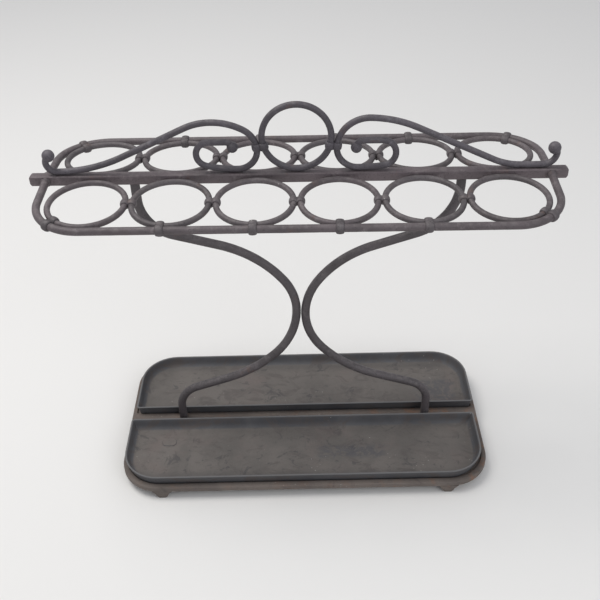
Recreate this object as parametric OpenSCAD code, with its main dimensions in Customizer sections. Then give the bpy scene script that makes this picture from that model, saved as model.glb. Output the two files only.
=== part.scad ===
// Umbrella stand with a rack of rings on a square bar, a scrolled crest, two bowed legs and
// a footed base frame that holds two lift-out drip pans.
// X runs along the bar, Y towards the back and Z up. The origin is on the floor under the centre.

/* [Rack] */
// Centre to centre distance of neighbouring rings
ring_pitch = 100; // [95:1:105]
// Number of rings in each row
ring_count = 6; // [4:2:6]
// Diameter of the rod that a ring is bent from
ring_rod = 7.5; // [6:0.5:9]
// Angle by which each row slopes down away from the bar
row_slope = 3.5; // [0:0.5:5]
// Diameter of the outer rail's rod
rail_rod = 9.6; // [8:0.2:11]
// Radius of the rail's centreline round a corner
rail_bend = 60; // [58:1:62]

/* [Bar] */
// Length of the central bar
bar_len = 661; // [655:1:670]
// Side of the bar's square section
bar_w = 13; // [12:0.5:15]
// Height of the bar's centreline above the floor
bar_z = 434.2; // [420:0.2:450]

/* [Crest] */
// Diameter of the crest's rods
crest_rod = 8; // [7:0.5:9]
// Radius of the crest circle's centreline
crest_radius = 41.7; // [38:0.1:44]
// Diameter of the ball at a scroll's outer end
outer_ball = 15.6; // [12:0.2:17]
// Diameter of the ball at a scroll's inner end
inner_ball = 14; // [12:0.2:15]

/* [Legs] */
// Diameter of a leg's rod
leg_rod = 12; // [10:0.5:13]
// Distance of a leg's top from the middle of the bar
leg_top_x = 202; // [195:1:210]
// Distance of a leg's foot from the middle of the base
leg_foot_x = 182.7; // [175:0.1:190]

/* [Base] */
// Length of the base frame
base_len = 523; // [515:1:530]
// Depth of the base frame, front to back
base_depth = 273; // [270:1:285]
// Height of the base frame's rim above the floor
ledge_z = 20; // [18:0.5:23]
// Height of the frame's cast border
border_h = 8; // [7:0.5:10]
// Angle by which the base is turned under the rack
base_turn = 0.9; // [0:0.1:2]

/* [Drip pans] */
// Length of a pan at its rim
pan_len = 512; // [500:1:514]
// Depth of a pan at its rim, front to back
pan_depth = 117; // [112:1:117]
// Height of a pan
pan_h = 18; // [15:0.5:20]
// Thickness of a pan's wall and floor
pan_wall = 1.8; // [1.5:0.1:2.5]
// Distance by which the front pan sits off centre
front_pan_shift = -2; // [-2:0.5:2]
// Distance by which the back pan sits off centre
back_pan_shift = 1.5; // [-2:0.5:2]
// Distance by which the front pan sits forward in its recess
front_pan_forward = 2; // [0:0.5:2]
// Distance by which the back pan sits forward in its recess
back_pan_forward = 1; // [0:0.5:1.5]

/* [Hidden] */
$fn = 48;
// A small overlap that lets a cut run clean through a face
eps = 0.5;

// How much fatter a knuckle is than its rod, and how far back each stretch stops inside it
knuckle = 0.3;
knuckle_gap = 0.4;

// Ring rows. A row is drawn flat, with the bar's face on the X axis and Y outwards.
ring_gap = 0.3;
ring_r = (ring_pitch - ring_gap - ring_rod) / 2;
ring_out = ring_r + ring_rod / 2;
rail_y = 2 * ring_out + rail_rod / 2;
end_ring_x = ring_pitch * (ring_count - 1) / 2;
rail_x = end_ring_x + rail_bend;
rail_corner_y = rail_y - rail_bend;
rail_start_y = rail_rod / 2 * tan(row_slope);
bar_half = bar_w / 2;
bar_top = bar_z + bar_half;

// Where each ring is bound to the rail, as an angle round the ring from the +X direction
front_bind = [133, 98, 90, 91, 90, 40];
back_bind = [130, 91, 92, 92, 95, 61];
collar_len = 9.5;
collar_bulge = 20;
collar_wall = 2.4;
// Difference between the diameter of a collar's bore and its rod's
collar_gap = 0.1;

// Scroll bends, from where the rod leaves the bar at the outer end: [radius, turn]
rise = 25;
crest_z = bar_top + crest_rod / 2 + crest_radius;
rod_z = bar_top + crest_rod / 2;
scroll_right_bends = [82, [143, 23], [39, 92], [26, 90], [245, 7.2], [17, 172.8], [22, 0], [9, 90]];
scroll_left_bends = [194, [77, 55], [31, 60], [25, 90], [150, 14.4], [16, 165.6], [20, 0], [9, 75]];
scroll_right_hook = [[26, 0], [15, 90], [8, 60]];
scroll_left_hook = [[12, 90], [12, 55]];
crest_bind = -16;

// Leg bends: [top, upper, above the waist, below the waist, lower, foot], each [radius, turn]
leg_right_bends = [[75, 71], [147, 37], [97, 34], [93, 40], [175, 32], [35, 72]];
leg_left_bends = [[55, 74], [156, 38], [84, 36], [115, 45], [195, 25], [40, 70]];
leg_right_waist_z = 218;
leg_left_waist_z = 226;
leg_top_z = bar_z - bar_half;
tenon_d = 7;
tenon_len = 8;
tenon_gap = 0.05;
stud_d = 8;
stud_end_z = 2.5;

// Base and pans
base_corner = 57;
pan_corner = 52;
inner_corner = 5;
pan_y = 69.5;
shelf_w = 11;
shelf_z = ledge_z - 3.5;
border_z = ledge_z - border_h;
pan_draft = 3;
cove = 6;
cove_top = 4.8;
pan_gap = 0.4;
rim_w = 1.2;
rim_h = 2;
foot_x = 201;
foot_w = 29;
foot_neck = 14;
foot_tip_r = 9;
foot_flat_z = 8;
foot_t = 10;
washer_d = 16;
washer_t = 1.6;
nut_af = 13;
nut_t = 6.5;

// ---- Bent rods --------------------------------------------------------------------------

// The pose [x, y, heading] after one bend; a bend that turns by 0 is a straight run.
function after(pose, bend) =
    bend[1] == 0
    ? [pose[0] + bend[0] * cos(pose[2]), pose[1] + bend[0] * sin(pose[2]), pose[2]]
    : let (s = sign(bend[1]) * bend[0], h = pose[2] + bend[1])
      [pose[0] + s * (sin(h) - sin(pose[2])), pose[1] - s * (cos(h) - cos(pose[2])), h];

// The pose after the first n bends of a rod
function pose_at(start, bends, n) = n == 0 ? start : after(pose_at(start, bends, n - 1), bends[n - 1]);

// How far a run of bends moves from a heading, as [dx, dy, new heading]
function moved(heading, bends) = pose_at([0, 0, heading], bends, len(bends));

// One straight or curved stretch of rod, drawn in the XY plane from a pose. It stops short
// of either end by cuts = [at the start, at the end].
module stretch(pose, bend, d, cuts = [0, 0]) {
    translate([pose[0], pose[1], 0])
        rotate([0, 0, pose[2]])
            if (bend[1] == 0)
                translate([cuts[0], 0, 0])
                    rotate([0, 90, 0]) cylinder(d = d, h = bend[0] - cuts[0] - cuts[1]);
            else if (bend[1] > 0)
                translate([0, bend[0], 0])
                    rotate([0, 0, -90]) arc_of_rod(bend[0], bend[1], d, cuts[0], cuts[1]);
            else
                translate([0, -bend[0], 0])
                    rotate([0, 0, 90 + bend[1]]) arc_of_rod(bend[0], -bend[1], d, cuts[1], cuts[0]);
}

module arc_of_rod(r, turn, d, first_cut, last_cut) {
    per_mm = 180 / (PI * r);
    rotate([0, 0, first_cut * per_mm])
        rotate_extrude(angle = turn - (first_cut + last_cut) * per_mm, $fn = 120)
            translate([r, 0]) circle(d = d);
}

// A whole bent rod. The smith's faint knuckle at each change of bend joins the stretches.
module bent_rod(start, bends, d) {
    last = len(bends) - 1;
    for (i = [0:last])
        stretch(
            pose_at(start, bends, i), bends[i], d,
            [i == 0 ? 0 : knuckle_gap, i == last ? 0 : knuckle_gap]
        );
    for (i = [1:last]) {
        joint = pose_at(start, bends, i);
        translate([joint[0], joint[1], 0])
            rotate([0, 90, joint[2]])
                cylinder(d = d + knuckle, h = 4 * knuckle_gap, center = true);
    }
}

// ---- Rack -------------------------------------------------------------------------------

// Puts a flat row in its place: side is 1 for the back and -1 for the front.
module row(side) {
    mirror([0, side > 0 ? 0 : 1, 0])
        translate([0, bar_half, bar_z])
            rotate([-row_slope, 0, 0])
                children();
}

function ring_x(i) = (i - (ring_count + 1) / 2) * ring_pitch;
function ring_centre(i) = [ring_x(i), ring_out];

module ring_body(i, gap = 0) {
    translate(ring_centre(i))
        rotate_extrude($fn = 120)
            translate([ring_r, 0]) circle(d = ring_rod + gap);
}

rail_start = [-rail_x, rail_start_y, 90];
rail_end_run = [rail_corner_y - rail_start_y, 0];
rail_corner = [rail_bend, -90];
rail_bends = [rail_end_run, rail_corner, [2 * end_ring_x, 0], rail_corner, rail_end_run];

module ring(side, i) {
    color("dimgray") row(side) ring_body(i);
}

module rail(side) {
    color("dimgray") row(side) bent_rod(rail_start, rail_bends, rail_rod);
}

module rounded_square(w, d, r) {
    square([w, d - 2 * r], center = true);
    square([w - 2 * r, d], center = true);
    for (x = [-1, 1], y = [-1, 1])
        translate([x * (w / 2 - r), y * (d / 2 - r)]) circle(r);
}

module top_bar() {
    edge_r = 1.8;
    color("dimgray")
        difference() {
            translate([-bar_len / 2, 0, bar_z])
                rotate([90, 0, 90])
                    linear_extrude(bar_len) rounded_square(bar_w, bar_w, edge_r);
            for (x = [-leg_top_x, leg_top_x])
                translate([x, 0, leg_top_z - eps])
                    cylinder(d = tenon_d + 2 * tenon_gap, h = tenon_len + eps + 0.5);
            for (s = [-1, 1])
                bar_end_cut(s);
        }
}

// Bevels the four edges of one end of the bar
module bar_end_cut(s) {
    bevel = 2;
    translate([s * bar_len / 2, 0, bar_z])
        for (a = [0:90:270])
            rotate([a, 0, 0])
                translate([0, 0, bar_half])
                    rotate([0, 45, 0])
                        cube([bevel * sqrt(2), 2 * bar_w, bevel * sqrt(2)], center = true);
}

// ---- Collars ----------------------------------------------------------------------------

// A barrel along X, fattest in the middle
module barrel(d, length) {
    rotate([0, 90, 0])
        rotate_extrude()
            intersection() {
                translate([d / 2 - collar_bulge, 0]) circle(collar_bulge, $fn = 120);
                translate([0, -length / 2]) square([d, length]);
            }
}

// A cast collar round two rods side by side, at points a and b of the XY plane. The two rods
// are the module's children, and are cut out of it one after the other.
module double_collar(a, b, rod_a, rod_b) {
    across = atan2(b[1] - a[1], b[0] - a[0]);
    difference() {
        difference() {
            union() {
                translate(a) rotate([0, 0, across + 90]) barrel(rod_a + 2 * collar_wall, collar_len);
                translate(b) rotate([0, 0, across + 90]) barrel(rod_b + 2 * collar_wall, collar_len);
            }
            children(0);
        }
        children(1);
    }
}

// Collar between ring i and ring i + 1
module ring_collar(side, i) {
    x = (ring_x(i) + ring_x(i + 1)) / 2;
    half = ring_pitch / 2 - ring_r;
    color("dimgray")
        row(side)
            double_collar([x - half, ring_out], [x + half, ring_out], ring_rod, ring_rod) {
                ring_body(i, collar_gap);
                ring_body(i + 1, collar_gap);
            }
}

// Point of the rail's centreline nearest to a point outside or inside it
function rail_point(p) =
    abs(p[0]) <= end_ring_x
    ? [p[0], rail_y]
    : let (c = [sign(p[0]) * end_ring_x, rail_corner_y], v = p - c) c + v * rail_bend / norm(v);

// Collar that binds ring i to the rail
module rail_collar(side, i) {
    angle = (side > 0 ? back_bind : front_bind)[i - 1];
    a = ring_centre(i) + ring_r * [cos(angle), sin(angle)];
    rail_part = a[0] < -end_ring_x ? 1 : a[0] > end_ring_x ? 3 : 2;
    color("dimgray")
        row(side)
            double_collar(a, rail_point(a), ring_rod, rail_rod) {
                ring_body(i, collar_gap);
                stretch(
                    pose_at(rail_start, rail_bends, rail_part),
                    rail_bends[rail_part],
                    rail_rod + collar_gap
                );
            }
}

// ---- Crest ------------------------------------------------------------------------------

// The crest is drawn flat with Y upwards, and stood up in the plane of the bar.
module upright() {
    rotate([90, 0, 0]) children();
}

module crest_circle_body(gap = 0) {
    translate([0, crest_z])
        rotate_extrude($fn = 120)
            translate([crest_radius, 0]) circle(d = crest_rod + gap);
}

module crest_circle() {
    color("dimgray") upright() crest_circle_body();
}

// The bends after the straight climb, down to the inner loop's lowest point
function fall(bends) = [bends[1], bends[2], bends[3]];
// The climb is as long as it takes the inner loop to come back down onto the bar.
function climb(bends) =
    -(moved(180, [[bends[0], -rise]])[1] + moved(180 - rise, fall(bends))[1]) / sin(180 - rise);
// The whole run of bends from the bar to the inner ball
function scroll_run(bends) =
    concat([[bends[0], -rise], [climb(bends), 0]], [for (i = [1:7]) bends[i]]);
// Height of the centre of the bend that touches the crest circle
function touch_z(bends) = rod_z + bends[3][0];
// Distance from the middle at which that bend just touches the crest circle
function touch_x(bends) =
    sqrt(pow(crest_radius + crest_rod + bends[2][0], 2) - pow(touch_z(bends) - crest_z, 2));
// Where the rod leaves the bar, so that the bend lands at its touching distance
function scroll_x(bends) =
    touch_x(bends) - bends[2][0] - moved(180, [for (i = [0:3]) scroll_run(bends)[i]])[0];

// The same bends walked from the other end
function reversed(bends) =
    [for (i = [len(bends) - 1:-1:0]) [bends[i][0], -bends[i][1]]];

// A scroll, from the ball of its outer hook to the ball of its inner loop
module scroll_body(bends, hook) {
    start = [scroll_x(bends), rod_z];
    run = scroll_run(bends);
    inner = pose_at([start[0], start[1], 180], run, len(run));
    outer = pose_at([start[0], start[1], 0], hook, len(hook));
    bent_rod([outer[0], outer[1], outer[2] + 180], concat(reversed(hook), run), crest_rod);
    translate([inner[0], inner[1], 0]) sphere(d = inner_ball);
    translate([outer[0], outer[1], 0]) sphere(d = outer_ball);
}

module scroll_right() {
    color("dimgray") upright() scroll_body(scroll_right_bends, scroll_right_hook);
}

module scroll_left() {
    color("dimgray") mirror([1, 0, 0]) upright() scroll_body(scroll_left_bends, scroll_left_hook);
}

// Collar that binds the crest circle to a scroll
module crest_collar_body(bends) {
    a = [0, crest_z] + crest_radius * [cos(crest_bind), sin(crest_bind)];
    c = [touch_x(bends), touch_z(bends)];
    b = c + (a - c) * bends[2][0] / norm(a - c);
    double_collar(a, b, crest_rod, crest_rod) {
        crest_circle_body(collar_gap);
        translate(c)
            rotate_extrude($fn = 120)
                translate([bends[2][0], 0]) circle(d = crest_rod + 2 * knuckle);
    }
}

module crest_collar_right() {
    color("dimgray") upright() crest_collar_body(scroll_right_bends);
}

module crest_collar_left() {
    color("dimgray") mirror([1, 0, 0]) upright() crest_collar_body(scroll_left_bends);
}

// ---- Legs -------------------------------------------------------------------------------

// The straight run that lets bends from one heading to another cover a distance in X
function run_for(dx, bends, heading) = (dx - moved(-90, bends)[0]) / cos(heading);

// A leg's rod from the bar's underside to the base, with the waist touching the X = 0 plane
module leg_body(bends, waist_z) {
    waist_x = leg_rod / 2 + 0.1;
    top = [bends[0][0], -bends[0][1]];
    foot = [bends[5][0], -bends[5][1]];
    down = [top, bends[1], bends[2]];
    out = [bends[3], bends[4], foot];
    slope_in = -90 - bends[0][1];
    slope_out = -90 + bends[5][1];
    run_in = run_for(waist_x - leg_top_x, down, slope_in);
    run_out = run_for(leg_foot_x - waist_x, out, slope_out);
    drop_in = moved(-90, down)[1] + run_in * sin(slope_in);
    drop_out = moved(-90, out)[1] + run_out * sin(slope_out);
    bent_rod(
        [leg_top_x, leg_top_z, -90],
        [
            [leg_top_z - waist_z + drop_in, 0],
            top,
            [run_in, 0],
            bends[1],
            bends[2],
            bends[3],
            bends[4],
            [run_out, 0],
            foot,
            [waist_z + drop_out - ledge_z, 0]
        ],
        leg_rod
    );
}

module leg(bends, waist_z) {
    rotate([90, 0, 0]) leg_body(bends, waist_z);
    translate([leg_top_x, 0, leg_top_z - eps]) cylinder(d = tenon_d, h = tenon_len + eps);
    translate([leg_foot_x, 0, stud_end_z]) cylinder(d = stud_d, h = ledge_z + eps - stud_end_z);
}

module leg_right() {
    color("dimgray") leg(leg_right_bends, leg_right_waist_z);
}

module leg_left() {
    color("dimgray") mirror([1, 0, 0]) leg(leg_left_bends, leg_left_waist_z);
}

module foot_washers() {
    color("gray")
        for (x = [-leg_foot_x, leg_foot_x])
            translate([x, 0, border_z - washer_t])
                difference() {
                    cylinder(d = washer_d, h = washer_t);
                    translate([0, 0, -eps]) cylinder(d = stud_d + 0.6, h = washer_t + 2 * eps);
                }
}

module foot_nuts() {
    color("gray")
        for (x = [-leg_foot_x, leg_foot_x])
            translate([x, 0, border_z - washer_t - nut_t])
                difference() {
                    cylinder(d = nut_af / cos(30), h = nut_t, $fn = 6);
                    translate([0, 0, -eps]) cylinder(d = stud_d + 0.1, h = nut_t + 2 * eps);
                }
}

// ---- Base -------------------------------------------------------------------------------

// Turns the base and its pans under the rack
module turned() {
    rotate([0, 0, base_turn]) children();
}

// A pan's outline, centred: large corners outwards (-Y) and small ones towards the divider
module pan_outline(w, d, r_out, r_in) {
    translate([0, -d / 2 + r_out / 2]) square([w - 2 * r_out, r_out], center = true);
    translate([0, r_out / 2 - r_in / 2]) square([w, d - r_out - r_in], center = true);
    translate([0, d / 2 - r_in / 2]) square([w - 2 * r_in, r_in], center = true);
    for (s = [-1, 1]) {
        translate([s * (w / 2 - r_out), -d / 2 + r_out]) circle(r_out);
        translate([s * (w / 2 - r_in), d / 2 - r_in]) circle(r_in);
    }
}

// A straight-sided opening for a pan, its sides moved in from the pan's rim by inset
module pan_hole(side, inset, z_low, z_high) {
    mirror([0, side > 0 ? 1 : 0, 0])
        translate([0, -pan_y, z_low])
            linear_extrude(z_high - z_low)
                pan_outline(
                    pan_len - 2 * inset,
                    pan_depth - 2 * inset,
                    pan_corner - inset,
                    max(inner_corner - inset, 2)
                );
}

// A short tapered foot under the border
module base_foot(x, side) {
    translate([x, side * (base_depth - foot_t) / 2, 0])
        rotate([90, 0, 0])
            linear_extrude(foot_t, center = true)
                intersection() {
                    union() {
                        translate([0, foot_flat_z]) circle(foot_tip_r);
                        polygon([
                            [-foot_w / 2, border_z + eps],
                            [-foot_neck / 2, foot_flat_z - foot_tip_r / 3],
                            [foot_neck / 2, foot_flat_z - foot_tip_r / 3],
                            [foot_w / 2, border_z + eps]
                        ]);
                    }
                    translate([-foot_w, 0]) square([2 * foot_w, border_z + eps]);
                }
}

module base_frame() {
    color("tan")
        difference() {
            union() {
                turned() {
                    translate([0, 0, border_z])
                        linear_extrude(border_h)
                            rounded_square(base_len, base_depth, base_corner);
                    for (x = [-foot_x, foot_x], side = [-1, 1])
                        base_foot(x, side);
                }
            }
            turned()
                for (side = [-1, 1]) {
                    pan_hole(side, pan_gap, shelf_z, ledge_z + eps);
                    pan_hole(side, shelf_w, border_z - eps, ledge_z);
                }
            for (x = [-leg_foot_x, leg_foot_x])
                translate([x, 0, border_z - eps]) cylinder(d = stud_d + 0.4, h = border_h + 2 * eps);
        }
}

// A tapered block, its sides moved in from the pan's rim by inset_low at its foot and by
// inset_high at its top
module pan_block(inset_low, inset_high, z_low, z_high) {
    w = pan_len - 2 * inset_low;
    d = pan_depth - 2 * inset_low;
    spread = 2 * (inset_low - inset_high);
    translate([0, 0, z_low])
        linear_extrude(z_high - z_low, scale = [1 + spread / w, 1 + spread / d], slices = 1)
            pan_outline(w, d, pan_corner - inset_low, max(inner_corner - inset_low, 2));
}

module drip_pan(side) {
    shift = side < 0 ? front_pan_shift : back_pan_shift;
    outward = side < 0 ? front_pan_forward : -back_pan_forward;
    color("lightslategray")
        turned()
            mirror([0, side > 0 ? 1 : 0, 0])
                translate([shift, -pan_y - outward, shelf_z])
                    difference() {
                        union() {
                            pan_block(rim_w + pan_draft, rim_w, 0, pan_h);
                            translate([0, 0, pan_h - rim_h])
                                linear_extrude(rim_h)
                                    pan_outline(pan_len, pan_depth, pan_corner, inner_corner);
                        }
                        pan_block(cove_top + cove, cove_top, pan_wall, pan_wall + cove);
                        pan_block(cove_top + eps, rim_w + pan_wall, pan_wall + cove - eps, pan_h + eps);
                    }
}

module drip_pan_front() {
    drip_pan(-1);
}

module drip_pan_back() {
    drip_pan(1);
}

// ---- Nodes ------------------------------------------------------------------------------

top_bar();
rail(-1);  // front_rail
rail(1);  // back_rail
for (i = [1:ring_count]) {
    ring(-1, i);
    ring(1, i);
    rail_collar(-1, i);
    rail_collar(1, i);
}
for (i = [1:ring_count - 1]) {
    ring_collar(-1, i);
    ring_collar(1, i);
}
crest_circle();
scroll_left();
scroll_right();
crest_collar_left();
crest_collar_right();
leg_left();
leg_right();
foot_washers();
foot_nuts();
base_frame();
drip_pan_front();
drip_pan_back();
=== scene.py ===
import math
import random

import bmesh
import bpy
from mathutils import Matrix, Vector, noise


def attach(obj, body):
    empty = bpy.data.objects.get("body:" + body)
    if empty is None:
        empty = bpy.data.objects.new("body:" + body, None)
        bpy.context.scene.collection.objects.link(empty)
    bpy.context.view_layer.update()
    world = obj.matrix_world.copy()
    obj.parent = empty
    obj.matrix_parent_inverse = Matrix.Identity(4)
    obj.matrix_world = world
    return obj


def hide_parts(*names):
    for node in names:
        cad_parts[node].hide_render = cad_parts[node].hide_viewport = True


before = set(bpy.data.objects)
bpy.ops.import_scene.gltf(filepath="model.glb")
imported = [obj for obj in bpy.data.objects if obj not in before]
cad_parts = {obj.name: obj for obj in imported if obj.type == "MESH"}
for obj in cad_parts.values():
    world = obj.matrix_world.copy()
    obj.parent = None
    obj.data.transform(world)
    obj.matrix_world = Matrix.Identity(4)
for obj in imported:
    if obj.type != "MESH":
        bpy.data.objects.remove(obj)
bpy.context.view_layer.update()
rng = random.Random(41)
MM = 0.001

# ---- Sizes, in millimetres, as the CAD has them -------------------------------------------
PITCH, RINGS, SLOPE = 100.0, 6, 3.5
RING_D, RAIL_D, CREST_D, LEG_D = 7.5, 9.6, 8.0, 12.0
RAIL_BEND = 60.0
RING_GAP, WAIST_GAP = 0.3, 0.1
BAR_LEN, BAR_W, BAR_Z = 661.0, 13.0, 434.2
CREST_R, OUTER_BALL, INNER_BALL = 41.7, 15.6, 14.0
LEG_TOP_X, LEG_FOOT_X, LEDGE_Z = 202.0, 182.7, 20.0
RING_R = (PITCH - RING_GAP - RING_D) / 2
RING_OUT = RING_R + RING_D / 2
RAIL_Y = 2 * RING_OUT + RAIL_D / 2
END_X = PITCH * (RINGS - 1) / 2
RAIL_X = END_X + RAIL_BEND
BAR_TOP = BAR_Z + BAR_W / 2
CREST_Z = BAR_TOP + CREST_D / 2 + CREST_R
ROD_Z = BAR_TOP + CREST_D / 2
RISE = 25.0
COLLAR_LEN, COLLAR_WALL = 9.5, 2.4
FRONT_BIND = [133, 98, 90, 91, 90, 40]
BACK_BIND = [130, 91, 92, 92, 95, 61]
CREST_BIND = -16.0
SCROLLS = {
    "right": ([82, (143, 23), (39, 92), (26, 90), (245, 7.2), (17, 172.8), (22, 0), (9, 90)],
              [(26, 0), (15, 90), (8, 60)]),
    "left": ([194, (77, 55), (31, 60), (25, 90), (150, 14.4), (16, 165.6), (20, 0), (9, 75)],
             [(12, 90), (12, 55)]),
}
LEGS = {
    "right": ([(75, 71), (147, 37), (97, 34), (93, 40), (175, 32), (35, 72)], 218),
    "left": ([(55, 74), (156, 38), (84, 36), (115, 45), (195, 25), (40, 70)], 226),
}


# ---- Paths: a pose is (x, y, heading) and a bend is (radius, turn) or (length, 0) ----------
def after(pose, bend):
    x, y, h = pose
    size, turn = bend
    a = math.radians(h)
    if turn == 0:
        return (x + size * math.cos(a), y + size * math.sin(a), h)
    s = math.copysign(size, turn)
    b = math.radians(h + turn)
    return (x + s * (math.sin(b) - math.sin(a)), y - s * (math.cos(b) - math.cos(a)), h + turn)


def pose_after(pose, bends):
    for bend in bends:
        pose = after(pose, bend)
    return pose


def moved(heading, bends):
    return pose_after((0.0, 0.0, heading), bends)


def walk(pose, bends, step=2.2):
    """Points along a chain of bends, evenly enough spaced for a smooth rod."""
    points = [pose[:2]]
    for size, turn in bends:
        length = size if turn == 0 else size * math.radians(abs(turn))
        n = max(2, math.ceil(length / (step if turn == 0 else min(step, size * 0.12))))
        for k in range(1, n + 1):
            part = (size * k / n, 0) if turn == 0 else (size, turn * k / n)
            points.append(after(pose, part)[:2])
        pose = after(pose, (size, turn))
    return points


# ---- Places: each maps flat (u, v) to millimetres in the row frame -------------------------
def row_place(side):
    """The plane of a ring row: u along the bar, v outwards and gently downwards."""
    c, s = math.cos(math.radians(SLOPE)), math.sin(math.radians(SLOPE))
    origin = Vector((0, side * BAR_W / 2, BAR_Z))
    return origin, Vector((1, 0, 0)), Vector((0, side * c, -s))


def upright_place(mirror=1):
    """The upright plane of the crest and the legs."""
    return Vector((0, 0, 0)), Vector((mirror, 0, 0)), Vector((0, 0, 1))


def at(place, u, v):
    origin, a, b = place
    return origin + a * u + b * v


# ---- Mesh building -------------------------------------------------------------------------
def make(name, verts, faces, body, material, sharp=35.0):
    mesh = bpy.data.meshes.new(name)
    mesh.from_pydata([tuple(v) for v in verts], [], faces)
    mesh.validate()
    bm = bmesh.new()
    bm.from_mesh(mesh)
    bmesh.ops.recalc_face_normals(bm, faces=bm.faces)
    bm.to_mesh(mesh)
    bm.free()
    for polygon in mesh.polygons:
        polygon.use_smooth = True
    mesh.set_sharp_from_angle(angle=math.radians(sharp))
    piece = bpy.data.objects.new(name, mesh)
    bpy.context.scene.collection.objects.link(piece)
    mesh.materials.append(material)
    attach(piece, body)
    return piece


def lump(point, scale, seed):
    """Smooth noise from -1 to 1 at a place, for hammered and cast surfaces."""
    return noise.noise(Vector((point[0] / scale + seed, point[1] / scale, point[2] / scale)))


def circle_points(u, v, r, count=132):
    steps = (2 * math.pi * k / count for k in range(count))
    return [(u + r * math.cos(w), v + r * math.sin(w)) for w in steps]


def rod(name, place, points, d, material, closed=False, wobble=0.018, seed=0.0, around=20,
        replaces=()):
    """A forged rod swept along flat points, with a slightly uneven skin."""
    _, a, b = place
    across = a.cross(b)
    n = len(points)
    verts, faces = [], []
    for i, (u, v) in enumerate(points):
        before = points[i - 1] if (i or closed) else points[i]
        behind = points[(i + 1) % n] if (i < n - 1 or closed) else points[i]
        du, dv = behind[0] - before[0], behind[1] - before[1]
        size = math.hypot(du, dv)
        du, dv = du / size, dv / size
        side = a * -dv + b * du
        centre = at(place, u, v)
        for k in range(around):
            w = 2 * math.pi * k / around
            out = side * math.cos(w) + across * math.sin(w)
            r = d / 2 * (1 + wobble * lump(centre + out * 3, 9.0, seed) - wobble * 0.6
                         + wobble * 0.6 * lump(centre, 26.0, seed + 7))
            verts.append((centre + out * r) * MM)
    rings = n if closed else n - 1
    for i in range(rings):
        for k in range(around):
            k2, j = (k + 1) % around, (i + 1) % n
            faces.append((i * around + k, i * around + k2, j * around + k2, j * around + k))
    if not closed:
        faces.append(tuple(range(around)))
        faces.append(tuple((n - 1) * around + k for k in reversed(range(around))))
    piece = make(name, verts, faces, "stand", material, sharp=50)
    if replaces:
        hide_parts(*replaces)
    return piece


def ball(name, centre, d, material, seed):
    bm = bmesh.new()
    bmesh.ops.create_uvsphere(bm, u_segments=28, v_segments=18, radius=1)
    verts = []
    for v in bm.verts:
        out = v.co.copy()
        r = d / 2 * (0.985 + 0.015 * lump(out * 8 + centre, 6.0, seed))
        verts.append((centre + out * r) * MM)
    bm.verts.index_update()
    faces = [tuple(v.index for v in f.verts) for f in bm.faces]
    bm.free()
    return make(name, verts, faces, "stand", material, sharp=80)


def band(place, centre, along, r, length, seed):
    """One lobe of a collar: a short sleeve, fattest in the middle, round one rod."""
    _, a, b = place
    normal = a.cross(b)
    direction = a * math.cos(along) + b * math.sin(along)
    side = a * -math.sin(along) + b * math.cos(along)
    middle = at(place, *centre)
    half = [(0.5, -2.3), (0.5, -1.5), (0.46, -0.95), (0.37, -0.42), (0.2, -0.06)]
    profile = [(-share, rise) for share, rise in half] + [(0.0, 0.05)] + half[::-1]
    around = 28
    verts, faces = [], []
    for share, rise in profile:
        for k in range(around):
            w = 2 * math.pi * k / around
            out = side * math.cos(w) + normal * math.sin(w)
            rr = r + rise + 0.22 * lump(middle + out * r + direction * share * 4, 5.0, seed) - 0.22
            verts.append((middle + direction * share * length + out * rr) * MM)
    for i in range(len(profile) - 1):
        for k in range(around):
            k2 = (k + 1) % around
            faces.append((i * around + k, i * around + k2, (i + 1) * around + k2, (i + 1) * around + k))
    return verts, faces


def collar(name, place, p, q, rod_p, rod_q, material, node, seed):
    """A two-lobed collar that binds the rods at flat points p and q."""
    along = math.atan2(q[1] - p[1], q[0] - p[0]) + math.pi / 2
    verts, faces = [], []
    for centre, rod_d in ((p, rod_p), (q, rod_q)):
        v, f = band(place, centre, along, rod_d / 2 + COLLAR_WALL, COLLAR_LEN, seed + rod_d)
        faces += [tuple(i + len(verts) for i in face) for face in f]
        verts += v
    piece = make(name, verts, faces, "stand", material, sharp=60)
    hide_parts(node)
    return piece


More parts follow.
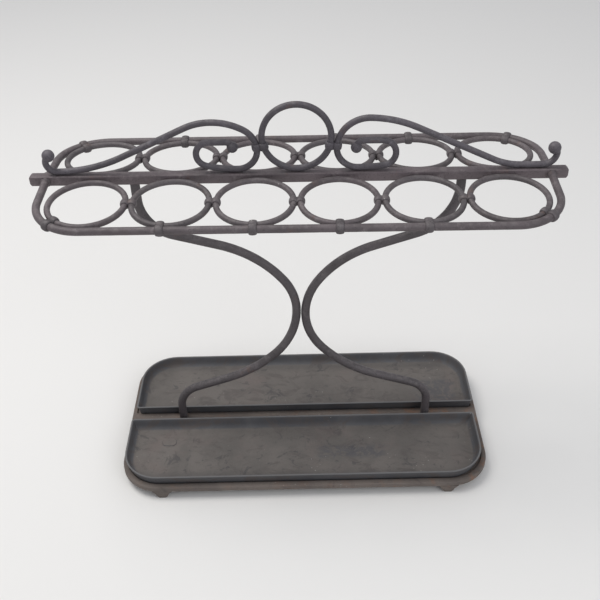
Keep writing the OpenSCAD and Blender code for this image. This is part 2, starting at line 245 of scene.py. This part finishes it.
# ---- Materials -----------------------------------------------------------------------------
class Graph:
    """Short helpers for one material's node tree."""

    def __init__(self, name, metallic, roughness):
        self.material = bpy.data.materials.new(name)
        self.material.use_nodes = True
        self.tree = self.material.node_tree
        self.tree.nodes.clear()
        self.out = self.tree.nodes.new("ShaderNodeOutputMaterial")
        self.shader = self.tree.nodes.new("ShaderNodeBsdfPrincipled")
        self.shader.inputs["Metallic"].default_value = metallic
        self.shader.inputs["Roughness"].default_value = roughness
        self.link(self.shader.outputs[0], self.out.inputs[0])
        self.coords = self.tree.nodes.new("ShaderNodeTexCoord").outputs["Object"]
        self.normal = self.tree.nodes.new("ShaderNodeNewGeometry").outputs["Normal"]

    def link(self, a, b):
        self.tree.links.new(a, b)

    def set(self, socket, value):
        if isinstance(value, bpy.types.NodeSocket):
            self.link(value, socket)
        else:
            socket.default_value = value

    def noise(self, scale, detail=4.0, rough=0.55, distort=0.0, stretch=None, offset=0.0):
        node = self.tree.nodes.new("ShaderNodeMapping")
        node.inputs["Location"].default_value = (offset, offset * 0.7, offset * 1.3)
        node.inputs["Scale"].default_value = stretch or (1, 1, 1)
        self.link(self.coords, node.inputs["Vector"])
        n = self.tree.nodes.new("ShaderNodeTexNoise")
        n.inputs["Scale"].default_value = scale
        n.inputs["Detail"].default_value = detail
        n.inputs["Roughness"].default_value = rough
        n.inputs["Distortion"].default_value = distort
        self.link(node.outputs[0], n.inputs["Vector"])
        return n.outputs["Fac"]

    def cells(self, scale, offset=0.0):
        node = self.tree.nodes.new("ShaderNodeMapping")
        node.inputs["Location"].default_value = (offset, offset, offset)
        self.link(self.coords, node.inputs["Vector"])
        n = self.tree.nodes.new("ShaderNodeTexVoronoi")
        n.inputs["Scale"].default_value = scale
        self.link(node.outputs[0], n.inputs["Vector"])
        return n.outputs["Distance"]

    def span(self, value, low, high, smooth=True):
        """0 below low and 1 above high."""
        n = self.tree.nodes.new("ShaderNodeMapRange")
        n.interpolation_type = "SMOOTHSTEP" if smooth else "LINEAR"
        n.inputs["From Min"].default_value = low
        n.inputs["From Max"].default_value = high
        self.link(value, n.inputs["Value"])
        return n.outputs["Result"]

    def math(self, op, a, b=0.0):
        n = self.tree.nodes.new("ShaderNodeMath")
        n.operation = op
        self.set(n.inputs[0], a)
        self.set(n.inputs[1], b)
        return n.outputs[0]

    def mix(self, share, a, b):
        n = self.tree.nodes.new("ShaderNodeMix")
        n.data_type = "RGBA"
        self.set(n.inputs["Factor"], share)
        for socket, value in ((n.inputs[6], a), (n.inputs[7], b)):
            self.set(socket, value if isinstance(value, bpy.types.NodeSocket) else (*value, 1.0))
        return n.outputs[2]

    def axis(self, source, name):
        n = self.tree.nodes.new("ShaderNodeSeparateXYZ")
        self.link(source, n.inputs[0])
        return n.outputs[name]

    def finish(self, colour, rough, bumps):
        self.link(colour, self.shader.inputs["Base Color"])
        self.link(rough, self.shader.inputs["Roughness"])
        normal = None
        for height, strength, distance in bumps:
            n = self.tree.nodes.new("ShaderNodeBump")
            n.inputs["Strength"].default_value = strength
            n.inputs["Distance"].default_value = distance
            self.link(height, n.inputs["Height"])
            if normal is not None:
                self.link(normal, n.inputs["Normal"])
            normal = n.outputs[0]
        self.link(normal, self.shader.inputs["Normal"])
        return self.material


def rod_iron(name, offset, tint=(1.0, 1.0, 1.0)):
    """Old wrought iron: a dull dark brown skin, worn paler in places, rusted and specked."""
    g = Graph(name, 0.15, 0.6)

    def c(r, gg, b):
        return (r * tint[0], gg * tint[1], b * tint[2])

    broad = g.noise(14, 5, 0.6, offset=offset)
    middle = g.noise(70, 6, 0.65, offset=offset + 3)
    fine = g.noise(520, 4, 0.6, offset=offset + 5)
    colour = g.mix(g.span(broad, 0.35, 0.68), c(0.070, 0.061, 0.062), c(0.104, 0.090, 0.092))
    colour = g.mix(g.span(middle, 0.52, 0.74), colour, c(0.145, 0.130, 0.130))
    colour = g.mix(g.math("MULTIPLY", g.span(fine, 0.54, 0.68), 0.7), colour, c(0.040, 0.034, 0.033))
    rust = g.math("MULTIPLY", g.span(g.noise(26, 6, 0.7, offset=offset + 9), 0.58, 0.74), 0.45)
    colour = g.mix(rust, colour, c(0.150, 0.078, 0.045))
    top = g.span(g.axis(g.normal, "Z"), 0.1, 0.95)
    dust = g.math("MULTIPLY", top, g.span(g.noise(120, 5, 0.7, offset=offset + 11), 0.42, 0.7))
    colour = g.mix(g.math("MULTIPLY", dust, 0.32), colour, (0.235, 0.215, 0.21))
    spots = g.math("MULTIPLY", g.span(g.cells(95, offset), 0.085, 0.045),
                   g.span(g.noise(32, 3, offset=offset + 15), 0.60, 0.66))
    colour = g.mix(spots, colour, (0.62, 0.60, 0.57))
    rough = g.math("ADD", g.math("MULTIPLY", middle, 0.30), 0.44)
    return g.finish(colour, rough, [(middle, 0.35, 0.0012), (fine, 0.28, 0.0004)])


def pan_iron(name, offset, y_back, y_front, blotch):
    """A drip pan: grey dusty floor with cloudy stains, darker blue-grey walls, a pale rim top that is a
    painted highlight, and painted shade with some silt along the floor's edges by the walls.
    y_back is the floor's edge at the divider and y_front its outer edge, and blotch gives the
    bounds (x0, x1, y0, y1) of a dark stain."""
    g = Graph(name, 0.05, 0.75)
    x, y, z = (g.axis(g.coords, k) for k in "XYZ")
    broad = g.noise(9, 5, 0.62, 0.6, offset=offset)
    clouds = g.noise(26, 6, 0.68, 1.2, stretch=(1, 1.7, 1), offset=offset + 2)
    grit = g.noise(380, 5, 0.7, offset=offset + 4)
    floor = g.mix(g.span(broad, 0.36, 0.66), (0.112, 0.102, 0.094), (0.146, 0.131, 0.120))
    floor = g.mix(g.math("MULTIPLY", g.span(clouds, 0.50, 0.64), 0.6), floor, (0.092, 0.080, 0.076))
    stain = g.math("MULTIPLY", g.span(g.noise(38, 6, 0.72, 1.5, offset=offset + 6), 0.56, 0.66), 0.7)
    floor = g.mix(stain, floor, (0.066, 0.061, 0.062))
    floor = g.mix(g.math("MULTIPLY", g.span(g.noise(16, 5, 0.6, offset=offset + 8), 0.5, 0.75), 0.4),
                  floor, (0.165, 0.128, 0.118))
    wall = g.mix(g.span(broad, 0.3, 0.7), (0.068, 0.068, 0.074), (0.102, 0.101, 0.106))
    wall = g.mix(g.math("MULTIPLY", g.span(clouds, 0.47, 0.62), 0.55), wall, (0.098, 0.078, 0.068))
    flat = g.span(g.axis(g.normal, "Z"), 0.80, 0.985)
    colour = g.mix(flat, wall, floor)
    ragged = g.math("MULTIPLY", g.math("SUBTRACT", g.noise(45, 6, 0.7, 0.8, offset=offset + 10), 0.5), 0.022)
    depth = g.math("ADD", y, ragged)
    inward = math.copysign(1.0, y_front - y_back)
    # Painted shade with some silt: the floor darkens within 13 mm of its edge at the divider and, less,
    # within 16 mm of its outer edge, where the walls meet it.
    edge_shade_and_silt = g.span(depth, y_back + 0.013 * inward, y_back)
    outer = g.math("MULTIPLY", g.span(depth, y_front - 0.016 * inward, y_front - 0.002 * inward), 0.6)
    edge_shade_and_silt = g.math("MAXIMUM", edge_shade_and_silt, outer)
    colour = g.mix(g.math("MULTIPLY", g.math("MULTIPLY", edge_shade_and_silt, flat), 0.62), colour, (0.066, 0.063, 0.064))
    x0, x1, y0, y1 = blotch
    across = g.math("ADD", x, g.math("MULTIPLY", ragged, 2.0))
    edges = [g.span(across, x0, x0 + 0.02), g.span(across, x1, x1 - 0.02),
             g.span(depth, y0, y0 + 0.012), g.span(depth, y1, y1 - 0.012),
             g.span(g.noise(60, 6, 0.7, 1.0, offset=offset + 17), 0.42, 0.56)]
    spill = edges[0]
    for edge in edges[1:]:
        spill = g.math("MULTIPLY", spill, edge)
    colour = g.mix(g.math("MULTIPLY", g.math("MULTIPLY", spill, flat), 0.62), colour, (0.070, 0.070, 0.080))
    # Painted highlight: the top of the rolled rim is made paler.
    rim = g.span(z, 0.0331, 0.0341)
    colour = g.mix(g.math("MULTIPLY", rim, 0.8), colour, (0.150, 0.148, 0.150))
    dirt = g.math("MULTIPLY", g.span(grit, 0.58, 0.72), 0.5)
    colour = g.mix(dirt, colour, (0.060, 0.055, 0.052))
    flecks = g.math("MULTIPLY", g.span(g.cells(150, offset), 0.10, 0.055),
                    g.span(g.noise(22, 3, offset=offset + 13), 0.56, 0.63))
    colour = g.mix(flecks, colour, (0.42, 0.40, 0.37))
    rough = g.math("ADD", g.math("MULTIPLY", clouds, 0.25), 0.62)
    return g.finish(colour, rough, [(clouds, 0.35, 0.0016), (grit, 0.32, 0.0005)])


def base_iron(name, offset):
    """The cast base frame: beige-brown dusty iron with rust creeping in along the right."""
    g = Graph(name, 0.05, 0.72)
    x = g.axis(g.coords, "X")
    broad = g.noise(11, 5, 0.6, 0.4, offset=offset)
    fine = g.noise(300, 5, 0.65, offset=offset + 4)
    clouds = g.noise(55, 6, 0.7, 0.6, offset=offset + 2)
    colour = g.mix(g.span(broad, 0.35, 0.68), (0.112, 0.094, 0.084), (0.160, 0.134, 0.118))
    colour = g.mix(g.math("MULTIPLY", g.span(clouds, 0.54, 0.72), 0.6), colour, (0.062, 0.054, 0.050))
    rust = g.math("MULTIPLY", g.span(g.noise(34, 6, 0.72, offset=offset + 6), 0.48, 0.68),
                  g.math("ADD", g.math("MULTIPLY", g.span(x, 0.02, 0.22), 0.55), 0.18))
    colour = g.mix(rust, colour, (0.215, 0.105, 0.055))
    colour = g.mix(g.math("MULTIPLY", g.span(fine, 0.57, 0.72), 0.5), colour, (0.048, 0.043, 0.040))
    specks = g.math("MULTIPLY", g.span(g.cells(170, offset), 0.12, 0.06),
                    g.span(g.noise(30, 3, offset=offset + 12), 0.50, 0.60))
    colour = g.mix(specks, colour, (0.36, 0.34, 0.31))
    rough = g.math("ADD", g.math("MULTIPLY", clouds, 0.25), 0.6)
    return g.finish(colour, rough, [(clouds, 0.4, 0.0012), (fine, 0.35, 0.0005)])


iron = [rod_iron(f"rod_iron_{k}", 1.7 * k, t) for k, t in enumerate(
    [(1.14, 1.12, 1.16), (1.24, 1.19, 1.24), (1.08, 1.08, 1.12)])]
bar_mat = rod_iron("bar_iron", 12.0, (1.44, 1.34, 1.40))
crest_mat = rod_iron("crest_iron", 17.0, (1.04, 1.07, 1.20))
leg_mat = rod_iron("leg_iron", 23.0, (0.94, 0.94, 0.97))

# ---- Rack ----------------------------------------------------------------------------------
for side, label, bind in ((-1, "front", FRONT_BIND), (1, "back", BACK_BIND)):
    place = row_place(side)
    start = (-RAIL_X, RAIL_D / 2 * math.tan(math.radians(SLOPE)), 90)
    run = RAIL_Y - RAIL_BEND - start[1]
    rail = walk(start, [(run, 0), (RAIL_BEND, -90), (2 * END_X, 0), (RAIL_BEND, -90), (run, 0)])
    rod(f"rail_{label}", place, rail, RAIL_D, iron[1], seed=side * 5.0, replaces=[f"{label}_rail"])
    for i in range(1, RINGS + 1):
        cx = (i - (RINGS + 1) / 2) * PITCH
        circle = circle_points(cx, RING_OUT, RING_R)
        rod(f"ring_{label}_{i}_forged", place, circle, RING_D, iron[(i + (side > 0)) % 3], closed=True,
            seed=i * 3.1 + side, replaces=[f"ring_{label}_{i}"])
        angle = math.radians(bind[i - 1])
        p = (cx + RING_R * math.cos(angle), RING_OUT + RING_R * math.sin(angle))
        if abs(p[0]) <= END_X:
            q = (p[0], RAIL_Y)
        else:
            c = Vector((math.copysign(END_X, p[0]), RAIL_Y - RAIL_BEND))
            v = Vector(p) - c
            q = tuple(c + v * RAIL_BEND / v.length)
        collar(f"rail_band_{label}_{i}", place, p, q, RING_D, RAIL_D, iron[2],
               f"rail_collar_{label}_{i}", i + side * 2.0)
        if i < RINGS:
            middle = cx + PITCH / 2
            half = PITCH / 2 - RING_R
            collar(f"ring_band_{label}_{i}", place, (middle - half, RING_OUT), (middle + half, RING_OUT),
                   RING_D, RING_D, iron[0], f"ring_collar_{label}_{i}", i * 1.3 + side)

# ---- Bar -----------------------------------------------------------------------------------
def square_bar():
    """The forged bar: a square section with worn edges and bevelled ends."""
    section, edge = [], 1.9
    for quarter in range(4):
        cx, cy = ((1, 1), (-1, 1), (-1, -1), (1, -1))[quarter]
        for k in range(5):
            w = math.radians(90 * quarter + 22.5 * k)
            section.append((cx * (BAR_W / 2 - edge) + edge * math.cos(w),
                            cy * (BAR_W / 2 - edge) + edge * math.sin(w)))
    half = BAR_LEN / 2
    stations = [(-half, 0.70), (-half + 0.7, 0.80), (-half + 2.2, 0.985)]
    n = 150
    stations += [(-half + 4 + (2 * half - 8) * k / n, 1.0) for k in range(n + 1)]
    stations += [(half - 2.2, 0.985), (half - 0.7, 0.80), (half, 0.70)]
    verts, faces, m = [], [], len(section)
    for x, scale in stations:
        for y, z in section:
            worn = 0.16 * lump((x, y * 2, z * 2), 11.0, 3.0) - 0.16
            r = math.hypot(y, z)
            verts.append(Vector((x, y * (scale + worn / r), BAR_Z + z * (scale + worn / r))) * MM)
    for i in range(len(stations) - 1):
        for k in range(m):
            k2 = (k + 1) % m
            faces.append((i * m + k, i * m + k2, (i + 1) * m + k2, (i + 1) * m + k))
    faces.append(tuple(range(m)))
    faces.append(tuple((len(stations) - 1) * m + k for k in reversed(range(m))))
    piece = make("top_bar_forged", verts, faces, "stand", bar_mat, sharp=40)
    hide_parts("top_bar")


square_bar()

# ---- Crest ---------------------------------------------------------------------------------
flat = upright_place()
rod("crest_circle_forged", flat, circle_points(0.0, CREST_Z, CREST_R), CREST_D, crest_mat,
    closed=True, seed=31.0, replaces=["crest_circle"])


def scroll(label, mirror):
    bends, hook = SCROLLS[label]
    fall = bends[1:4]
    gained = moved(180, [(bends[0], -RISE)])[1] + moved(180 - RISE, fall)[1]
    climb = -gained / math.sin(math.radians(180 - RISE))
    run = [(bends[0], -RISE), (climb, 0)] + bends[1:8]
    touch_z = ROD_Z + bends[3][0]
    reach = CREST_R + CREST_D + bends[2][0]
    touch_x = math.sqrt(reach ** 2 - (touch_z - CREST_Z) ** 2)
    start_x = touch_x - bends[2][0] - moved(180, run[:4])[0]
    outer = pose_after((start_x, ROD_Z, 0), hook)
    inner = pose_after((start_x, ROD_Z, 180), run)
    chain = [(size, -turn) for size, turn in reversed(hook)] + run
    place = upright_place(mirror)
    points = walk((outer[0], outer[1], outer[2] + 180), chain, step=1.8)
    rod(f"scroll_{label}_forged", place, points, CREST_D, crest_mat, seed=35.0 + mirror,
        replaces=[f"scroll_{label}"])
    ball(f"scroll_{label}_outer_ball", at(place, outer[0], outer[1]), OUTER_BALL, crest_mat, 2.0 + mirror)
    ball(f"scroll_{label}_inner_ball", at(place, inner[0], inner[1]), INNER_BALL, crest_mat, 5.0 + mirror)
    angle = math.radians(CREST_BIND)
    p = Vector((CREST_R * math.cos(angle), CREST_Z + CREST_R * math.sin(angle)))
    c = Vector((touch_x, touch_z))
    q = c + (p - c) * bends[2][0] / (p - c).length
    collar(f"crest_band_{label}", place, tuple(p), tuple(q), CREST_D, CREST_D, crest_mat,
           f"crest_collar_{label}", 3.3 + mirror)


scroll("right", 1)
scroll("left", -1)


# ---- Legs ----------------------------------------------------------------------------------
def leg(label, mirror):
    bends, waist_z = LEGS[label]
    waist_x = LEG_D / 2 + WAIST_GAP
    top, foot = (bends[0][0], -bends[0][1]), (bends[5][0], -bends[5][1])
    down, out = [top, bends[1], bends[2]], [bends[3], bends[4], foot]
    slope_in, slope_out = -90 - bends[0][1], -90 + bends[5][1]
    run_in = (waist_x - LEG_TOP_X - moved(-90, down)[0]) / math.cos(math.radians(slope_in))
    run_out = (LEG_FOOT_X - waist_x - moved(-90, out)[0]) / math.cos(math.radians(slope_out))
    drop_in = moved(-90, down)[1] + run_in * math.sin(math.radians(slope_in))
    drop_out = moved(-90, out)[1] + run_out * math.sin(math.radians(slope_out))
    top_z = BAR_Z - BAR_W / 2
    chain = [(top_z - waist_z + drop_in, 0), top, (run_in, 0), bends[1], bends[2], bends[3], bends[4],
             (run_out, 0), foot, (waist_z + drop_out - LEDGE_Z, 0)]
    place = upright_place(mirror)
    points = walk((LEG_TOP_X, top_z, -90), chain)
    rod(f"leg_{label}_forged", place, points, LEG_D, leg_mat, seed=51.0 + mirror, wobble=0.014,
        around=28, replaces=[f"leg_{label}"])


leg("right", 1)
leg("left", -1)

# ---- Small repairs and welds -----------------------------------------------------------------
def weld(name, centre, size, material, seed):
    """An uneven bead of old weld or solder, sunk into the rods it joins."""
    bm = bmesh.new()
    bmesh.ops.create_icosphere(bm, subdivisions=3, radius=1)
    verts = []
    for v in bm.verts:
        out = v.co
        r = (1 + 0.22 * noise.noise(out * 1.7 + Vector((seed, 0, 0)))
             + 0.08 * noise.noise(out * 4 + Vector((seed, 5, 0))))
        verts.append((centre + Vector((out.x * size[0], out.y * size[1], out.z * size[2])) * r) * MM)
    bm.verts.index_update()
    faces = [tuple(v.index for v in f.verts) for f in bm.faces]
    bm.free()
    return make(name, verts, faces, "stand", material, sharp=80)


for side, label in ((-1, "front"), (1, "back")):
    place = row_place(side)
    for i in range(1, RINGS + 1):
        cx = (i - (RINGS + 1) / 2) * PITCH
        weld(f"ring_weld_{label}_{i}", at(place, cx, 1.3) - Vector((0, 0, 1.2)),
             (6.5 + rng.uniform(-1, 2), 2.3, 2.6), iron[i % 3], i * 2.7 + side)
    for s in (-1, 1):
        weld(f"rail_weld_{label}_{'left' if s < 0 else 'right'}", at(place, s * RAIL_X, 1.4),
             (6.2, 2.4, 5.8), iron[1], 40 + side + s * 3.0)
    for i in range(1, RINGS):
        middle = (i - RINGS / 2) * PITCH
        if rng.random() < 0.7:
            spot = at(place, middle + rng.uniform(-1.5, 1.5), RING_OUT - 4.5) - Vector((0, 0, 3.4))
            weld(f"band_weld_{label}_{i}", spot, (2.6, 2.8, 2.0), iron[0], 60 + i * 1.9 + side)

# ---- Base ------------------------------------------------------------------------------------
TURN = math.radians(0.9)
BASE_LEN, BASE_DEPTH, BASE_R = 523.0, 273.0, 57.0
BORDER_Z, SHELF_Z, SHELF_W, PAN_GAP = 12.0, 16.5, 11.0, 0.4
FOOT_X, FOOT_T = 201, 10
PAN_LEN, PAN_DEPTH, PAN_R, PAN_R_IN, PAN_Y = 512.0, 117.0, 52.0, 5.0, 69.5


def turned(v):
    c, s = math.cos(TURN), math.sin(TURN)
    return Vector((v[0] * c - v[1] * s, v[0] * s + v[1] * c, v[2]))


def outline(w, d, corners, inset, arc=10, step=9.0):
    """Points round a rounded oblong, anticlockwise from its front right corner, moved in by inset.
    corners gives the radii of the front and back corners. The count doesn't depend on inset."""
    front, back = corners
    arcs = []
    for sx, sy, r, start in ((1, -1, front, -90), (1, 1, back, 0), (-1, 1, back, 90), (-1, -1, front, 180)):
        rr = max(r - inset, 1.2)
        cx, cy = sx * (w / 2 - inset - rr), sy * (d / 2 - inset - rr)
        turns = [math.radians(start + 90 * k / arc) for k in range(arc + 1)]
        arcs.append([(cx + rr * math.cos(a), cy + rr * math.sin(a)) for a in turns])
    points = []
    for k, length in enumerate((d, w, d, w)):
        points += arcs[k]
        a, b = arcs[k][-1], arcs[(k + 1) % 4][0]
        count = max(2, int(length / step))
        for j in range(1, count):
            t = j / count
            points.append((a[0] + (b[0] - a[0]) * t, a[1] + (b[1] - a[1]) * t))
    return points


def shell(levels, shape, place):
    """Vertices and faces of a skin through levels of (inset, z), each one an outline."""
    verts, faces = [], []
    n = 0
    for inset, z in levels:
        ring = shape(inset)
        n = len(ring)
        verts += [place(Vector((x, y, z))) for x, y in ring]
    for i in range(len(levels) - 1):
        for k in range(n):
            k2 = (k + 1) % n
            faces.append((i * n + k, i * n + k2, (i + 1) * n + k2, (i + 1) * n + k))
    return verts, faces, n


def drip_pan(label, side, shift, forward, body, material, seed):
    """A cast pan: thin drafted wall, rolled rim, filleted floor that is a little uneven."""
    flip = -side

    def place(v):
        y = v.y * flip
        return turned((v.x + shift, y + side * (PAN_Y + forward), v.z + SHELF_Z))

    def shape(inset):
        return outline(PAN_LEN, PAN_DEPTH, (PAN_R, PAN_R_IN), inset)

    levels = [(7.4, 0.0), (5.6, 0.15), (4.6, 0.9), (4.2, 2.2), (3.3, 7.4), (2.3, 13.6), (1.8, 15.4),
              (0.9, 15.8), (0.15, 16.4), (0.0, 17.0), (0.3, 17.6), (1.0, 17.95), (1.9, 17.9), (2.5, 17.4),
              (2.9, 16.6), (3.7, 14.2), (4.6, 10.4), (5.4, 7.8), (6.5, 5.6), (8.2, 3.7), (10.4, 2.5),
              (13.0, 1.95)]
    levels += [(inset, 1.8) for inset in (16, 20, 25, 30, 35, 40, 45, 50, 54)]
    verts, faces, n = shell(levels, shape, place)
    floor_from = 21 * n
    for k in range(floor_from, len(verts)):
        share = min(1.0, (k - floor_from) / (3 * n))
        verts[k].z += share * (0.30 * lump(verts[k], 42.0, seed) + 0.14 * lump(verts[k], 13.0, seed + 5))
    for k in range(7 * n, 15 * n):
        verts[k].z += 0.16 * lump(verts[k], 15.0, seed + 9) - 0.12
    faces.append(tuple(range(n)))
    faces.append(tuple(len(verts) - n + k for k in range(n)))
    verts = [v * MM for v in verts]
    piece = make(f"drip_pan_{label}_cast", verts, faces, body, material, sharp=48)
    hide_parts(f"drip_pan_{label}")
    return place


front_pan_mat = pan_iron("front_pan_iron", 3.0, -0.0150, -0.1192, (0.012, 0.130, -0.088, -0.054))
back_pan_mat = pan_iron("back_pan_iron", 31.0, 0.0130, 0.1162, (0.165, 0.245, 0.020, 0.085))
front_place = drip_pan("front", -1, -2.0, 2.0, "front_pan", front_pan_mat, 3.0)
drip_pan("back", 1, 1.5, -1.0, "back_pan", back_pan_mat, 8.0)


def pad():
    """The plain raised pad cast into the front pan's floor."""
    levels = [(0, 1.5), (0, 2.3), (0.35, 2.62), (0.9, 2.72), (2.0, 2.68)]
    verts, faces, n = shell(
        levels, lambda inset: outline(21, 14, (6.5, 6.5), inset, arc=6, step=3),
        lambda v: front_place(Vector((v.x - 197, v.y + 23.5, v.z))))
    faces.append(tuple(len(verts) - n + k for k in range(n)))
    make("front_pan_pad", [v * MM for v in verts], faces, "front_pan", front_pan_mat, sharp=50)


pad()


def plate(name, loops, z_low, z_high, bevel, material):
    """A flat plate with softened edges. loops are closed outlines; the first is the outside."""
    curve = bpy.data.curves.new(name, "CURVE")
    curve.dimensions = "2D"
    curve.fill_mode = "BOTH"
    for loop in loops:
        spline = curve.splines.new("POLY")
        spline.points.add(len(loop) - 1)
        for point, (x, y) in zip(spline.points, loop):
            point.co = (x * MM, y * MM, 0, 1)
        spline.use_cyclic_u = True
    curve.extrude = ((z_high - z_low) / 2 - bevel) * MM
    curve.bevel_depth = bevel * MM
    curve.bevel_resolution = 3
    curve.offset = -bevel * MM
    holder = bpy.data.objects.new(name + "_curve", curve)
    bpy.context.scene.collection.objects.link(holder)
    bpy.context.view_layer.update()
    mesh = bpy.data.meshes.new_from_object(holder.evaluated_get(bpy.context.evaluated_depsgraph_get()))
    bpy.data.objects.remove(holder)
    bm = bmesh.new()
    bm.from_mesh(mesh)
    bmesh.ops.remove_doubles(bm, verts=bm.verts, dist=1e-6)
    verts = [Vector((v.co.x, v.co.y, v.co.z + (z_low + z_high) / 2 * MM)) for v in bm.verts]
    bm.verts.index_update()
    faces = [tuple(v.index for v in f.verts) for f in bm.faces]
    bm.free()
    return make(name, [turned(v) for v in verts], faces, "stand", material, sharp=40)


def pan_loop(side, inset):
    loop = outline(PAN_LEN, PAN_DEPTH, (PAN_R, PAN_R_IN), inset)
    return [(x, (y * -side) + side * PAN_Y) for x, y in loop]


base_mat = base_iron("base_iron", 4.0)
border = outline(BASE_LEN, BASE_DEPTH, (BASE_R, BASE_R), 0, arc=18)
holes = [pan_loop(side, PAN_GAP) for side in (-1, 1)]
base_piece = plate("base_frame_cast", [border, *holes], BORDER_Z, LEDGE_Z, 0.9, base_mat)
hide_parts("base_frame")
for side, label in ((-1, "front"), (1, "back")):
    loops = [pan_loop(side, 0.2), pan_loop(side, SHELF_W)]
    plate(f"base_shelf_{label}", loops, BORDER_Z + 0.1, SHELF_Z, 0.5, base_mat)


def foot(label, x, side):
    """A short cast foot: it tapers from the border's underside to a rounded tip."""
    half = [(14.3, 12.3), (13.2, 11.4), (11.3, 9.3), (9.7, 7.6), (8.9, 6.4), (8.5, 5.0), (7.7, 3.2),
            (6.3, 1.4), (5.2, 0.55), (4.0, 0.0)]
    loop = half + [(-u, w) for u, w in reversed(half)]
    depth = [(-5.0, 0.55), (-4.5, 0.12), (-3.9, 0.0), (3.9, 0.0), (4.5, 0.12), (5.0, 0.55)]
    centre_y = side * (BASE_DEPTH - FOOT_T) / 2
    verts, faces, n = [], [], len(loop)
    for y, inset in depth:
        for u, w in loop:
            lift = inset * 0.8 if w < 6 else 0
            verts.append(turned((x + u * (1 - inset / 9), centre_y + y, w + lift)) * MM)
    for i in range(len(depth) - 1):
        for k in range(n):
            k2 = (k + 1) % n
            faces.append((i * n + k, i * n + k2, (i + 1) * n + k2, (i + 1) * n + k))
    faces.append(tuple(range(n)))
    faces.append(tuple((len(depth) - 1) * n + k for k in range(n)))
    make(f"foot_{label}", verts, faces, "stand", base_mat, sharp=50)


for side, row in ((-1, "front"), (1, "back")):
    for x, end in ((-FOOT_X, "left"), (FOOT_X, "right")):
        foot(f"{row}_{end}", x, side)

steel = rod_iron("fixing_steel", 45.0, (1.5, 1.45, 1.4))
for name in ("foot_washers", "foot_nuts"):
    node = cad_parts[name]
    node.data.materials.clear()
    node.data.materials.append(steel)

# ---- Floor, light and camera -------------------------------------------------------------------
def floor_material():
    material = bpy.data.materials.new("studio_floor")
    material.use_nodes = True
    shader = material.node_tree.nodes["Principled BSDF"]
    shader.inputs["Base Color"].default_value = (0.80, 0.79, 0.77, 1)
    shader.inputs["Roughness"].default_value = 0.85
    return material


mesh = bpy.data.meshes.new("floor")
mesh.from_pydata([(-6, -6, 0), (6, -6, 0), (6, 6, 0), (-6, 6, 0)], [], [(0, 1, 2, 3)])
floor = bpy.data.objects.new("floor", mesh)
mesh.materials.append(floor_material())
bpy.context.scene.collection.objects.link(floor)

world = bpy.data.worlds.new("studio")
world.use_nodes = True
world.node_tree.nodes["Background"].inputs["Color"].default_value = (0.93, 0.95, 1.0, 1)
world.node_tree.nodes["Background"].inputs["Strength"].default_value = 0.55
bpy.context.scene.world = world


def area(name, place, target, size, power, colour=(1, 1, 1)):
    light = bpy.data.lights.new(name, "AREA")
    light.shape = "DISK"
    light.size = size
    light.energy = power
    light.color = colour
    lamp = bpy.data.objects.new(name, light)
    lamp.location = place
    lamp.rotation_euler = (Vector(target) - Vector(place)).to_track_quat("-Z", "Y").to_euler()
    bpy.context.scene.collection.objects.link(lamp)


area("key", (-1.1, 0.3, 2.6), (0, 0, 0.2), 1.6, 41, (1.0, 0.98, 0.95))
area("fill", (1.6, -2.0, 1.9), (0, 0, 0.25), 2.2, 20, (0.95, 0.97, 1.0))

camera = bpy.data.cameras.new("camera")
camera.sensor_width = 36.0
camera.lens = 51.85
view = bpy.data.objects.new("camera", camera)
yaw, pitch, roll = -0.023, 0.652, -0.027
forward = Vector((math.sin(yaw) * math.cos(pitch), math.cos(yaw) * math.cos(pitch), -math.sin(pitch)))
right = Vector((math.cos(yaw), -math.sin(yaw), 0))
up = right.cross(forward)
right2 = right * math.cos(roll) + up * math.sin(roll)
up2 = up * math.cos(roll) - right * math.sin(roll)
facing = Matrix((right2, up2, -forward)).transposed().to_4x4()
view.matrix_world = Matrix.Translation((0.0206, -0.9379, 0.9576)) @ facing
bpy.context.scene.collection.objects.link(view)
bpy.context.scene.camera = view
bpy.context.scene.view_settings.view_transform = "Standard"
bpy.context.scene.view_settings.look = "None"
